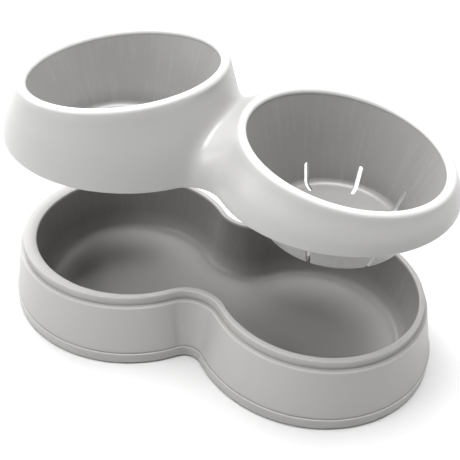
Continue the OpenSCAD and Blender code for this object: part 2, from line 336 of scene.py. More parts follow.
# fine spark-eroded grain of a mould, with broad cloudy changes of gloss
def buildMouldGrain():
    tree, given, out = shaderGroup("mouldGrain", {
        "Grain Size": 1400.0, "Cell Share": 0.35, "Cloud Size": 18.0, "Grain Depth": 0.5,
    }, ("Height", "Cloud"))
    where = objectPlace(tree)
    grain = noise(tree, "grain", where, given["Grain Size"])
    cells = addNode(tree, "ShaderNodeTexVoronoi", {"Vector": where, "Scale": given["Grain Size"],
                                                   "Randomness": 1.0}).outputs["Distance"]
    mixed = maths(tree, "MULTIPLY_ADD", cells, given["Cell Share"], grain)
    tree.links.new(maths(tree, "MULTIPLY", mixed, given["Grain Depth"]), out["Height"])
    tree.links.new(noise(tree, "cloud", where, given["Cloud Size"]), out["Cloud"])
    return tree


# rubbed edges, where the surface turns sharply outwards
def buildEdgeWear():
    tree, given, out = shaderGroup(
        "edgeWear", {"From": 0.515, "To": 0.6, "Breakup": 60.0, "Least Patch": 0.8}, ("Wear",))
    bend = addNode(tree, "ShaderNodeNewGeometry").outputs["Pointiness"]
    edge = remap(tree, bend, given["From"], given["To"])
    patchy = noise(tree, "wearPatch", objectPlace(tree), given["Breakup"], (given["Least Patch"], 1.0))
    tree.links.new(maths(tree, "MULTIPLY", edge, patchy, clamp=True), out["Wear"])
    return tree


# fine scratches, as thin stretched noise in two directions: turn in radians and stretch of each
scratchWays = ((0.5, (0.05, 2.6, 1.2)), (2.1, (0.04, 3.4, 1.6)))
scratchTilt = (0.2, 0.1)


def buildScuffs():
    tree, given, out = shaderGroup("scuffs", {"Scale": 260.0, "Amount": 0.5}, ("Scuff",))
    where = objectPlace(tree)
    layers = []
    for turn, stretch in scratchWays:
        turned = addNode(tree, "ShaderNodeMapping", {"Vector": where, "Rotation": (*scratchTilt, turn),
                                                     "Scale": stretch}).outputs[0]
        layers.append(noise(tree, "scratch", turned, given["Scale"]))
    both = maths(tree, "MAXIMUM", *layers)
    tree.links.new(maths(tree, "MULTIPLY", both, given["Amount"], clamp=True), out["Scuff"])
    return tree


# thin dust that settles on faces that look up
def buildDust():
    tree, given, out = shaderGroup(
        "settledDust", {"Amount": 0.3, "Patch Size": 25.0, "Level Above": 0.55}, ("Dust",))
    level = remap(tree, facingUp(tree), given["Level Above"], 1.0)
    patches = noise(tree, "dustPatch", objectPlace(tree), given["Patch Size"])
    tree.links.new(maths(tree, "MULTIPLY", maths(tree, "MULTIPLY", level, patches), given["Amount"],
                         clamp=True), out["Dust"])
    return tree


# faint upright wipe marks on steep walls, fanned round the axis of each lobe
def buildWipeMarks():
    tree, given, out = shaderGroup("wipeMarks", {
        "Lobe X": 0.085, "Fineness": 16.0, "Climb": 22.0, "Steep Below": 0.5, "Level Above": 0.85,
    }, ("Mark",))
    where = addNode(tree, "ShaderNodeSeparateXYZ", {0: objectPlace(tree)}).outputs
    fromAxis = maths(tree, "SUBTRACT", maths(tree, "ABSOLUTE", where["X"]), given["Lobe X"])
    flat = addNode(tree, "ShaderNodeCombineXYZ", {"X": fromAxis, "Y": where["Y"]}).outputs[0]
    way = addNode(tree, "ShaderNodeVectorMath", {0: flat}, operation="NORMALIZE").outputs[0]
    fanned = addNode(tree, "ShaderNodeVectorMath", {0: way, "Scale": given["Fineness"]},
                     operation="SCALE").outputs[0]
    climb = addNode(tree, "ShaderNodeCombineXYZ",
                    {"Z": maths(tree, "MULTIPLY", where["Z"], given["Climb"])}).outputs[0]
    spot = addNode(tree, "ShaderNodeVectorMath", {0: fanned, 1: climb}, operation="ADD").outputs[0]
    steep = remap(tree, facingUp(tree), given["Steep Below"], given["Level Above"], (1.0, 0.0))
    tree.links.new(maths(tree, "MULTIPLY", noise(tree, "wipe", spot, 1.0), steep), out["Mark"])
    return tree


mouldGrain, edgeWear, scuffs = buildMouldGrain(), buildEdgeWear(), buildScuffs()
settledDust, wipeMarks = buildDust(), buildWipeMarks()
print("shader groups built")


# ---- materials ----
# how far each effect changes the roughness, the height or the colour of a moulded plastic
effects = {
    "scuffRough": 0.18, "dustRough": 0.3, "paintedShadeRough": 0.05, "wipeRough": 0.06, "wearAndHighlightRough": -0.015,
    "scuffDepth": 0.6, "wipeColour": 0.10, "paintedShadePatch": 0.9, "edgeFrom": 0.52, "edgeTo": 0.6,
}


def startMaterial(name, look):
    material = bpy.data.materials.new(name)
    material.use_nodes = True
    tree = material.node_tree
    tree.nodes.clear()
    grain = useGroup(tree, mouldGrain, {"Grain Size": look["grainSize"], "Cloud Size": look["cloudSize"],
                                        "Grain Depth": look["grainDepth"]})
    return material, tree, grain["Height"], grain["Cloud"]


def finishMaterial(tree, look, colour, rough, height, **extra):
    bump = addNode(tree, "ShaderNodeBump", {"Strength": look["bump"], "Distance": look["bumpDepth"],
                                            "Height": height})
    shader = addNode(tree, "ShaderNodeBsdfPrincipled", {
        "Base Color": colour, "Roughness": rough, "Normal": bump.outputs[0], "IOR": look["ior"], **extra})
    addNode(tree, "ShaderNodeOutputMaterial", {"Surface": shader.outputs[0]}).is_active_output = True


def mouldedPlastic(name, look, e=effects):
    material, tree, grain, cloud = startMaterial(name, look)
    scuff = useGroup(tree, scuffs, {"Amount": look["scuff"]})["Scuff"]
    dust = useGroup(tree, settledDust, {"Amount": look["dust"]})["Dust"]
    # mesh marks say where shade is painted in, darker, and where a highlight is painted in, paler
    inside = meshMark(tree, "inside")
    # painted shade: the inside mark, broken into patches
    used = maths(tree, "MULTIPLY", inside, remap(tree, cloud, 0.0, 1.0, (e["paintedShadePatch"], 1.0)))
    wipe = maths(tree, "MULTIPLY", inside, useGroup(tree, wipeMarks, {"Lobe X": look["lobeX"]})["Mark"])
    # painted highlight on the rims and the slots' walls, joined on the tray by real edge wear
    wearAndHighlight = maths(tree, "MAXIMUM", meshMark(tree, "rim"), meshMark(tree, "slotWall"))
    if look["wear"]:     # the cut top's mesh is too uneven to find its edges by their bend
        edges = useGroup(tree, edgeWear, {"From": e["edgeFrom"], "To": e["edgeTo"]})["Wear"]
        wearAndHighlight = maths(tree, "MAXIMUM", wearAndHighlight, maths(tree, "MULTIPLY", edges, look["wear"]))
    colour = mixColour(tree, cloud, look["colour"], look["colourTwo"])
    # painted shade darkens the colour where the inside mark is
    colour = mixColour(tree, used, colour, look["paintedShadeColour"])
    colour = mixColour(tree, maths(tree, "MULTIPLY", wipe, e["wipeColour"]), colour, look["wearAndHighlightColour"])
    # painted highlight, and real edge wear, make the colour paler
    colour = mixColour(tree, wearAndHighlight, colour, look["wearAndHighlightColour"])
    colour = mixColour(tree, dust, colour, look["dustColour"])
    rough = remap(tree, cloud, 0.0, 1.0, (look["roughness"] - look["roughSwing"],
                                          look["roughness"] + look["roughSwing"]))
    for effect, share in ((scuff, "scuffRough"), (dust, "dustRough"), (used, "paintedShadeRough"),
                          (wipe, "wipeRough"), (wearAndHighlight, "wearAndHighlightRough")):
        rough = maths(tree, "MULTIPLY_ADD", effect, e[share], rough)
    height = maths(tree, "MULTIPLY_ADD", scuff, -e["scuffDepth"], grain)
    finishMaterial(tree, look, colour, rough, height,
                   **{"Coat Weight": look["coat"], "Coat Roughness": look["coatRoughness"]})
    return material


def rubberMaterial(name, look):
    material, tree, grain, cloud = startMaterial(name, look)
    dust = useGroup(tree, settledDust, {"Amount": look["dust"], "Patch Size": look["dustPatch"]})["Dust"]
    wear = useGroup(tree, edgeWear, {"From": look["edgeFrom"], "To": look["edgeTo"],
                                     "Breakup": look["breakup"]})["Wear"]
    pale = maths(tree, "MULTIPLY_ADD", wear, look["wear"], dust, clamp=True)
    colour = mixColour(tree, cloud, look["colour"], look["colourTwo"])
    colour = mixColour(tree, pale, colour, look["dustColour"])
    finishMaterial(tree, look, colour, remap(tree, cloud, 0.0, 1.0, look["roughness"]), grain)
    return material


shellPlastic = mouldedPlastic("paleGreyShellPlastic", {
    "colour": (0.413, 0.41, 0.405, 1), "colourTwo": (0.425, 0.422, 0.417, 1),
    # the pale colour is a painted highlight on the rims and the slots' walls, the darkest one painted shade
    "wearAndHighlightColour": (0.7, 0.698, 0.693, 1), "dustColour": (0.45, 0.442, 0.425, 1),
    "paintedShadeColour": (0.21, 0.207, 0.203, 1), "wear": 0.0, "dust": 0.05, "scuff": 0.08,
    "roughness": 0.32, "roughSwing": 0.025, "grainSize": 1700.0, "cloudSize": 16.0, "grainDepth": 0.25,
    "bump": 0.04, "bumpDepth": 0.0002, "ior": 1.49, "coat": 0.12, "coatRoughness": 0.14, "lobeX": 0.0895})
trayPlastic = mouldedPlastic("warmGreyTrayPlastic", {
    "colour": (0.392, 0.386, 0.377, 1), "colourTwo": (0.412, 0.406, 0.396, 1),
    # the pale colour is a painted highlight on the rounded edges, with real edge wear, the darkest one
    # painted shade
    "wearAndHighlightColour": (0.57, 0.564, 0.554, 1), "dustColour": (0.46, 0.446, 0.428, 1),
    "paintedShadeColour": (0.26, 0.253, 0.245, 1), "wear": 0.8, "dust": 0.10, "scuff": 0.25,
    "roughness": 0.36, "roughSwing": 0.06, "grainSize": 1300.0, "cloudSize": 14.0, "grainDepth": 0.5,
    "bump": 0.16, "bumpDepth": 0.00025, "ior": 1.49, "coat": 0.05, "coatRoughness": 0.2, "lobeX": 0.085})
footRubber = rubberMaterial("greyFootRubber", {
    "colour": (0.028, 0.028, 0.03, 1), "colourTwo": (0.045, 0.045, 0.047, 1),
    "dustColour": (0.22, 0.21, 0.20, 1), "dust": 0.5, "dustPatch": 120.0,
    "wear": 0.4, "edgeFrom": 0.53, "edgeTo": 0.66, "breakup": 200.0, "roughness": (0.68, 0.85),
    "grainSize": 900.0, "cloudSize": 60.0, "grainDepth": 1.0,
    "bump": 0.5, "bumpDepth": 0.0003, "ior": 1.52})
print("materials built")


# ---- reservoir tray: one section swept round the figure-eight ----
tray = {
    "rimZ": 61.0, "ledgeZ": 52.6, "rimR": 88.2, "ledgeR": 91.8, "wallFootR": 101.6, "bandR": 102.6,
    "bandZ": 10.8, "edgeGap": 1.2, "basinFloorR": 77.0, "basinFloorZ": 7.6, "footH": 5.0, "wall": 2.6,
    "floorInset": 9.0, "footSwell": 0.35, "grooveH": 0.4, "grooveW": 0.5,
    "basinCorner": 5.0, "rimInnerRound": 0.7, "rimOuterRound": 0.5, "ledgeInnerRound": 0.2,
    "ledgeRound": 0.45, "wallFootRound": 0.2, "grooveRound": 0.1, "bandRound": 0.4, "bandFootRound": 0.8,
    "bandInnerRound": 0.6, "hollowRound": 1.0, "hollowTopRound": 1.2, "underFloorRound": 3.0,
    "lobeSteps": 112, "hollowSteps": 44,
}
# painted shade or painted highlight on each line of the tray, and where on its section that ends
trayMarks = {
    "basinCorner": 0.3, "basinWall": (0.35, 0.95), "rimInner": 1, "rimOuter": 0.8, "rimFade": 2.0,
    "ledgeFoot": 0.4, "ledgeFootFade": (1.0, 1.2), "ledge": 0.8, "wallPlain": (0.03, 0.97),
    "wallFoot": 0.9, "band": 0.5, "bandFade": 1.2,
}


# a point part of the way from one to another
def between(first, last, share):
    return tuple(a + (b - a) * share for a, b in zip(first, last))


def buildTray(t, k):
    wall, low = t["wall"], t["footSwell"]
    inner = t["basinFloorR"] - t["floorInset"]
    basinFoot, basinTop = (t["basinFloorR"], t["basinFloorZ"]), (basinR, t["rimZ"])
    ledge = (t["ledgeR"], t["ledgeZ"], 0, 1)
    foot = (t["wallFootR"], t["bandZ"] + t["grooveH"], 0, low)
    fadeUp, fadeOut = k["ledgeFootFade"]
    section = [(inner, t["basinFloorZ"], 0, 0), (*basinFoot, t["basinCorner"], 0, k["basinCorner"])]
    section += [(*between(basinFoot, basinTop, share), 0, 0, 1) for share in k["basinWall"]]
    section += [
        (*basinTop, t["rimInnerRound"], 0, 0, k["rimInner"]),
        (t["rimR"], t["rimZ"], t["rimOuterRound"], 1, 0, k["rimOuter"]),
        (t["rimR"], t["rimZ"] - k["rimFade"], 0, 1),
        (t["rimR"], t["ledgeZ"] + fadeUp, 0, 1),
        (t["rimR"], t["ledgeZ"], t["ledgeInnerRound"], 1, k["ledgeFoot"]),
        (t["rimR"] + fadeOut, t["ledgeZ"], 0, 1),
        (t["ledgeR"], t["ledgeZ"], t["ledgeRound"], 1, 0, k["ledge"])]
    section += [between(ledge, foot, share) for share in k["wallPlain"]]
    section += [
        (*foot[:2], t["wallFootRound"], low, k["wallFoot"]),
        (t["wallFootR"] - t["grooveW"], t["bandZ"], t["grooveRound"], low, 1),
        (t["bandR"], t["bandZ"], t["bandRound"], low, 0, k["band"]),
        (t["bandR"], t["bandZ"] - k["bandFade"], 0, low),
        (t["bandR"], t["edgeGap"], t["bandFootRound"], low),
        (t["bandR"] - wall, t["edgeGap"], t["bandInnerRound"], low),
        (t["wallFootR"] - wall, t["bandZ"], t["hollowRound"], low),
        (t["ledgeR"] - wall, t["ledgeZ"] - wall, t["hollowTopRound"], 1),
        (basinR + wall, t["ledgeZ"] - wall, t["hollowTopRound"], 0),
        (t["basinFloorR"] + wall, t["footH"], t["underFloorRound"], 0), (inner, t["footH"], 0, 0)]
    path, swells = outlinePath(basinR, t["lobeSteps"], t["hollowSteps"])
    return sweepSection("reservoirTray", [path], basinR, section, trayPlastic, swells=swells)


# ---- feet and their sockets: small sections swept round circles under each lobe ----
feet = {
    "radius": 9.0, "height": 5.0, "ringR": 55.0, "turn": 60.0, "steps": 64, "middleR": 1.2,
    "chamfer": 0.6, "topRound": 0.3, "chamferRound": 0.2, "soleRound": 0.15,
    "grooveStarts": (7.1, 5.2, 3.3), "grooveWidth": 1.0, "grooveSlope": 0.25, "grooveDepth": 0.45,
    "grooveRound": 0.08,
    "socketGap": 0.2, "socketWall": 1.8, "socketDepth": 3.0, "socketSink": 1.3, "socketRound": 0.3,
    # which lobe and which row each foot stands in
    "places": {"footFrontLeft": (-1, -1), "footFrontRight": (1, -1), "footBackLeft": (-1, 1),
               "footBackRight": (1, 1), "footMiddleLeft": (-1, 0), "footMiddleRight": (1, 0)},
    "nodes": {"footFrontLeft": "foot_front_left", "footFrontRight": "foot_front_right",
              "footBackLeft": "foot_back_left", "footBackRight": "foot_back_right",
              "footMiddleLeft": "foot_middle_left", "footMiddleRight": "foot_middle_right"},
}


def footCircle(f, side, row):
    a = radians(f["turn"]) * row if row else pi
    x, y = side * (lobeX + f["ringR"] * cos(a)), f["ringR"] * sin(a)
    r, n = f["radius"], f["steps"]
    return [(x + r * cos(2 * pi * i / n), y + r * sin(2 * pi * i / n), 0) for i in range(n)]


def buildFeet(f):
    r, h, deep, soft = f["radius"], f["height"], f["grooveDepth"], f["grooveRound"]
    section = [(f["middleR"], h, 0), (r, h, f["topRound"]), (r, f["chamfer"], f["chamferRound"]),
               (r - f["chamfer"], 0, f["soleRound"])]
    for start in f["grooveStarts"]:     # the tread's rings
        end = start - f["grooveWidth"]
        section += [(start, 0, soft), (start - f["grooveSlope"], deep, soft),
                    (end + f["grooveSlope"], deep, soft), (end, 0, soft)]
    section.append((f["middleR"], 0, 0))
    return {name: sweepSection(name, [footCircle(f, *spot)], r, section, footRubber, cornerSteps=2)
            for name, spot in f["places"].items()}


def buildSockets(f):
    inner, soft = f["radius"] + f["socketGap"], f["socketRound"]
    outer = inner + f["socketWall"]
    low, high = f["height"] - f["socketDepth"], f["height"] + f["socketSink"]
    section = [(inner, low, soft), (outer, low, soft), (outer, high, 0), (inner, high, 0)]
    circles = [footCircle(f, *spot) for spot in f["places"].values()]
    return sweepSection("footSockets", circles, f["radius"], section, trayPlastic, closeSection=True)


# adds the mesh of one object to another's and removes the first
def joinInto(piece, extra):
    work = bmesh.new()
    work.from_mesh(piece.data)
    work.from_mesh(extra.data)
    work.to_mesh(piece.data)
    work.free()
    bpy.data.meshes.remove(extra.data)


trayPiece = buildTray(tray, trayMarks)
joinInto(trayPiece, buildSockets(feet))
footPieces = buildFeet(feet)
print("tray and feet built")


# ---- bowl top: a loft over two tilted rims, in two halves that share the valley between them ----
top = {
    "baseZ": 164.9, "skirtR": 93.0, "skirtInR": 87.6, "rebateR": 88.8, "rebateZ": 8.7, "skirtLean": 2.0,
    "saddleZ": 37.0, "saddleT": 3.2, "saddleRise": 0.6, "saddleRun": 0.55,
    "underRise": 0.3, "underRun": 0.45,
    "valleyTurn": 27.0, "valleyFillet": 2.0, "valleyBlend": 0.5, "valleyProbe": 0.02,
    "relaxRays": 18, "relaxOuter": 36, "relaxUnder": 16,
    "relaxNearEdge": 8, "relaxNearRim": 4, "relaxPull": 0.6,
    "tightPlain": 2.0, "tightHigh": 5.0, "tightLow": 3.0, "flankSwell": 1.25,
    "bowlX": 89.5, "mouthR": 74.4, "rollR": 4.0, "rollStart": 192.0, "rimTilt": 7.7, "jointDrop": 2.2,
    "highRimZ": 51.0, "lowRimZ": 28.5, "highFootZ": -12.0, "lowFootZ": -41.0,
    "floorR": 55.0, "floorInset": 2.5, "wall": 2.6, "cornerR": 6.0, "lowerEdgeRound": 0.9,
    "lowerEdgeSteps": 4, "lipRound": 0.012,
    "lobeSteps": 64, "hollowSteps": 12, "saddleSteps": 24,
    "cornerSteps": 7, "wallSteps": 5, "rollSteps": 16, "flankSteps": 24, "underSteps": 14,
}
# painted shade of each region of the top, and where on the rolled rim it and the painted highlight fade
topMarks = {
    "bowl": 0.72, "bowlFloor": 1.0, "underFlank": 0.3, "underBowl": 0.55,
    "rimStart": 0.06, "rimEnd": 1.2, "rimFade": 0.8,
}


# angle on the hollow at which the valley between the collars starts, nearer to the raised one
def valleyAngle(t, high):
    return pi / 2 + radians(t["valleyTurn"]) * (-1 if high else 1)


# point of the valley, u from the waist's edge to the saddle's middle
def valleyPoint(t, high, under, u):
    r, footZ, z = (t["skirtInR"], t["rebateZ"], t["saddleZ"] - t["saddleT"]) if under else (
        t["skirtR"], 0, t["saddleZ"])
    rise, run = (t["underRise"], t["underRun"]) if under else (t["saddleRise"], t["saddleRun"])
    start = valleyAngle(t, high)
    w, climb = hollowY - (hollowD - r) * sin(start), (z - footZ) * rise
    c = [Vector(v) for v in ((w, footZ), (w - climb * tan(radians(t["skirtLean"])), footZ + climb),
                             (w * run, z), (0, z))]
    q = c[0] * (1 - u) ** 3 + c[1] * (3 * u * (1 - u) ** 2) + c[2] * (3 * u * u * (1 - u)) + c[3] * u ** 3
    return Vector(((hollowD - r) * cos(start) * cos(pi / 2 * u), q.x, q.y))


# lower edge of a half top and its outward normal, or over the saddle the valley and no normal
def topEdge(t, r, footZ, high, under, k):
    lobe, hollow, saddle = t["lobeSteps"], t["hollowSteps"], t["saddleSteps"]
    half = lobe + hollow + saddle
    f, side = min(k, 2 * half - k), (1 if k <= half else -1)
    lean = radians(t["skirtLean"])
    n = None
    if f <= lobe:
        a = (pi - waistTurn) * f / lobe
        r += swell(a) if high else 0
        p = (lobeX + r * cos(a), r * sin(a), footZ)
        n = Vector((cos(a) * cos(lean), side * sin(a) * cos(lean), sin(lean)))
    elif f <= lobe + hollow:
        a = -waistTurn - (valleyAngle(t, high) - waistTurn) * (f - lobe) / hollow
        p = ((hollowD - r) * cos(a), hollowY + (hollowD - r) * sin(a), footZ)
        n = Vector((-cos(a) * cos(lean), -side * sin(a) * cos(lean), sin(lean)))
    else:
        p = valleyPoint(t, high, under, (f - lobe - hollow) / saddle)
    return Vector((p[0], side * p[1], p[2])), n


# one ray of a half: bowl floor, wall, rolled rim, flank, skirt's edge, and back underneath
def topRay(t, z, footZ, high, k):
    half = t["lobeSteps"] + t["hollowSteps"] + t["saddleSteps"]
    waist = t["lobeSteps"] + t["hollowSteps"]
    insideSaddle = waist < k < 2 * half - waist
    side = 1 if k <= half else -1
    outer, outerN = topEdge(t, t["skirtR"], 0, high, False, k)
    inner, innerN = topEdge(t, t["skirtInR"], t["rebateZ"], high, True, k)
    turn, tilt = atan2(outer.y, outer.x - lobeX), radians(t["rimTilt"])
    out = Vector((cos(tilt) * cos(turn), sin(turn), -sin(tilt) * cos(turn)))
    up = Vector((sin(tilt), 0, cos(tilt)))
    rollR, beadR = t["rollR"], t["mouthR"] + t["rollR"]
    tightness = t["tightPlain"]

    def byRim(r, h, height=z):
        return Vector((t["bowlX"], 0, height)) + out * r + up * h

    if insideSaddle:     # the fillet's normal halves the angle between the two collars
        u = (min(k, 2 * half - k) - waist) / t["saddleSteps"]
        share = min(1.0, u / t["valleyBlend"])
        share = share * share * (3 - 2 * share)
        other = byRim(beadR + rollR, 0, t["lowRimZ"] if high else t["highRimZ"])
        toOwn = (byRim(beadR + rollR, 0) - outer).normalized()
        toOther = (Vector((-other.x, other.y, other.z)) - outer).normalized()
        ahead = valleyPoint(t, high, False, min(1, u + t["valleyProbe"]))
        along = ahead - valleyPoint(t, high, False, max(0, u - t["valleyProbe"]))
        along = Vector((along.x, side * along.y, along.z)).normalized()
        if k == half:
            along = Vector((0, 1, 0))
        start = valleyAngle(t, high)
        n = Vector((-cos(start), side * sin(start), 0)) * (1 - share)
        n += (toOwn + toOther).normalized() * share
        outerN = innerN = (n - along * n.dot(along)).normalized()
        outer, inner = (p + outerN * t["valleyFillet"] * share for p in (outer, inner))
        tightness += ((t["tightHigh"] if high else t["tightLow"]) - tightness) * share

    def corner(height, r, a):
        radius = r - t["cornerR"] + t["cornerR"] * sin(a)
        return Vector((t["bowlX"] + radius * cos(turn), radius * sin(turn),
                       height + t["cornerR"] - t["cornerR"] * cos(a)))

    def flank(p, q, n, u):
        d = q - p
        a = (d - n * d.dot(n)) * t["flankSwell"]
        return p + d * u + (a - d) * (u ** (tightness + 1) - u ** tightness)

    toEdge = outer - byRim(beadR, 0)
    x, y = toEdge.dot(out), toEdge.dot(up)
    start, leave = radians(t["rollStart"]), atan2(y, x) + acos(rollR / hypot(x, y))
    turns = [start + (leave - start) * i / t["rollSteps"] for i in range(t["rollSteps"] + 1)]
    roll = [byRim(beadR + rollR * cos(a), rollR * sin(a)) for a in turns]
    inside = corner(footZ + t["wall"], t["floorR"], pi / 2)
    outside = corner(footZ, t["floorR"] + t["wall"], pi / 2)
    under = byRim(beadR, -t["jointDrop"])
    quarter = [pi / 2 * i / t["cornerSteps"] for i in range(t["cornerSteps"] + 1)]
    wallShares = [i / t["wallSteps"] for i in range(1, t["wallSteps"])]
    inset = Vector((cos(turn), sin(turn), 0)) * t["floorInset"]
    first, last = corner(footZ + t["wall"], t["floorR"], 0), corner(footZ, t["floorR"] + t["wall"], 0)
    rows = [first - inset]
    rows += [corner(footZ + t["wall"], t["floorR"], a) for a in quarter]
    rows += [inside.lerp(roll[0], s) for s in wallShares + [1 - t["lipRound"]]]
    rows += roll
    rows += [flank(roll[-1], outer, outerN, i / t["flankSteps"]) for i in range(1, t["flankSteps"] + 1)]
    rows += [outer if insideSaddle else topEdge(t, t["rebateR"], h, high, False, k)[0]
             for h in (0, t["rebateZ"])]
    rows += [flank(under, inner, innerN, i / t["underSteps"]) for i in range(t["underSteps"], -1, -1)]
    rows += [under.lerp(outside, s) for s in wallShares]
    rows += [corner(footZ, t["floorR"] + t["wall"], a) for a in reversed(quarter)]
    rows.append(last - inset)
    return rows


# carries marks of the uncut mesh to the cut one by the nearest place on it, and gives the slots'
# walls, the faces that lie away from the uncut surface, a painted highlight
def carryMarks(s, mesh, points, faces, marks):
    surface = BVHTree.FromPolygons(points, faces)
    nearest = []
    for v in mesh.vertices:
        spot, _, face, _ = surface.find_nearest(v.co)
        corners = faces[face]
        if len(corners) == 4:
            shares = poly_3d_calc([points[i] for i in corners], spot)
        else:     # a bowl's floor, whose marks are all alike
            shares = [1 / len(corners)] * len(corners)
        nearest.append(list(zip(corners, shares)))
    for name, values in marks.items():
        carried = [sum(values[i] * share for i, share in near) for near in nearest]
        mesh.attributes.new(name, "FLOAT", "POINT").data.foreach_set("value", carried)
    walls = [s["wallMark"] if surface.find_nearest(f.center)[3] > s["wallAway"] * mm
             and f.center.z < s["wallBelow"] * mm else 0.0 for f in mesh.polygons]
    mesh.attributes.new("slotWall", "FLOAT", "FACE").data.foreach_set("value", walls)


# the row of a ray's points at which each stretch of it begins
def topRows(t):
    floorRow = t["cornerSteps"] + 1
    lipRow = 1 + floorRow + t["wallSteps"]
    edgeRow = lipRow + t["rollSteps"] + t["flankSteps"]
    underRow = edgeRow + 3     # past the skirt's edge and its rebate
    return floorRow, lipRow, edgeRow, underRow, underRow + t["underSteps"]


# how much painted shade the points of a row get, and how much painted highlight, as on the rolled rim
def rowMarks(t, m, j):
    floorRow, lipRow, _, underRow, bowlRow = topRows(t)
    u = (j - lipRow) / t["rollSteps"]     # 0 to 1 along the rolled rim
    if u < 0:
        return m["bowl"] + (m["bowlFloor"] - m["bowl"]) * max(0, 1 - j / floorRow), 0.0
    inside = m["bowl"] * max(0, 1 - u / m["rimStart"])
    if j >= underRow:
        inside = m["underFlank"] if j < bowlRow else m["underBowl"]
    fade = min(1, max(0, (m["rimEnd"] - u) / m["rimFade"]))
    return inside, min(1, u / m["rimStart"]) * fade * fade * (3 - 2 * fade)


def buildTopShell(t, m):
    half = t["lobeSteps"] + t["hollowSteps"] + t["saddleSteps"]
    rays, waist = 2 * half, t["lobeSteps"] + t["hollowSteps"]
    _, _, edgeRow, underRow, _ = topRows(t)
    right = [topRay(t, t["lowRimZ"], t["lowFootZ"], False, k) for k in range(rays)]
    left = [[Vector((-p.x, p.y, p.z)) for p in topRay(t, t["highRimZ"], t["highFootZ"], True, k)]
            for k in range(rays)]
    rows = len(right[0])
    points = [(p.x, p.y, p.z + t["baseZ"]) for side in (right, left) for line in side for p in line]

    def onSaddle(k):
        return waist <= k <= rays - waist

    def inSaddle(k):
        return waist < k < rays - waist

    # the number of a point; both halves use one row of points along the valley
    def at(side, k, j):
        k %= rays
        shared = onSaddle(k) and edgeRow <= j <= underRow
        return (0 if shared else side * rays * rows) + k * rows + j

    # evens out the flanks round the saddle, so that the collars flow into each other
    def relaxSaddle(valleyRow, farRow, times):
        step = 1 if farRow > valleyRow else -1
        soft = {}
        for side in (0, 1):
            for k in range(rays):
                away = max(0, waist - min(k, rays - k))
                if away >= t["relaxRays"]:
                    continue
                share = 1 - away / t["relaxRays"]
                for j in range(valleyRow, farRow, step):
                    inValley = j == valleyRow
                    if inValley and not (onSaddle(k) and onSaddle(k - 1) and onSaddle(k + 1)):
                        continue
                    near = [at(side, k - 1, j), at(side, k + 1, j), at(side, k, j + step)]
                    near.append(at(1 - side, k, j + step) if inValley else at(side, k, j - step))
                    fromEdge = 1 if inSaddle(k) else min(1, abs(j - valleyRow) / t["relaxNearEdge"])
                    fromRim = min(1, abs(farRow - j) / t["relaxNearRim"])
                    soft[at(side, k, j)] = (near, share * fromEdge * fromRim * t["relaxPull"])
        spots = [Vector(p) for p in points]
        for _ in range(times):
            moved = {i: spots[i].lerp((spots[n[0]] + spots[n[1]] + spots[n[2]] + spots[n[3]]) / 4, pull)
                     for i, (n, pull) in soft.items()}
            for i, spot in moved.items():
                spots[i] = spot
        for i in soft:
            points[i] = tuple(spots[i])

    relaxSaddle(edgeRow, edgeRow - t["flankSteps"], t["relaxOuter"])
    relaxSaddle(underRow, underRow + t["underSteps"], t["relaxUnder"])

    faces, lowerEdge = [], []
    for side in (0, 1):
        for j in range(rows - 1):
            for k in range(rays):
                if edgeRow <= j < underRow and onSaddle(k) and onSaddle((k + 1) % rays):
                    continue
                face = [at(side, k, j), at(side, k + 1, j), at(side, k + 1, j + 1), at(side, k, j + 1)]
                faces.append(face if side == 0 else face[::-1])
        for j, way in ((0, -1), (rows - 1, 1)):
            faces.append([at(side, k, j) for k in range(rays)][::way * (1 if side == 0 else -1)])
        lowerEdge += [(at(side, k, edgeRow), at(side, k + 1, edgeRow)) for k in range(rays)
                      if not (onSaddle(k) and onSaddle((k + 1) % rays))]
    used = sorted({i for face in faces for i in face})
    number = {old: new for new, old in enumerate(used)}
    faces = [[number[i] for i in face] for face in faces]
    mesh = meshFrom("bowlTop", [points[i] for i in used], faces)
    marks = dict(zip(("inside", "rim"), zip(*(rowMarks(t, m, i % rows) for i in used))))
    uncut = ([Vector(points[i]) * mm for i in used], faces, marks)
    work = bmesh.new()
    work.from_mesh(mesh)
    bmesh.ops.recalc_face_normals(work, faces=work.faces)
    work.verts.ensure_lookup_table()
    bevelled = [work.edges.get((work.verts[number[i]], work.verts[number[j]])) for i, j in lowerEdge]
    bmesh.ops.bevel(work, geom=[e for e in bevelled if e], offset=t["lowerEdgeRound"] * mm,
                    segments=t["lowerEdgeSteps"], profile=0.5, affect="EDGES", clamp_overlap=True)
    work.to_mesh(mesh)
    work.free()
    return linkObject("bowlTop", mesh), uncut


# ---- tree that cuts upright round-ended slots through the wall of a bowl ----
slots = {
    "count": 8, "firstTurn": 40.0, "width": 3.6, "height": 20.5, "start": 44.8, "reach": 33.6,
    "overrun": 1.0, "roundSteps": 32, "centre": (89.5, 0.0, 123.9),
    # walls get this much painted highlight: faces this far from the uncut surface, below this height
    "wallMark": 0.9, "wallAway": 0.3, "wallBelow": 150.0,
}


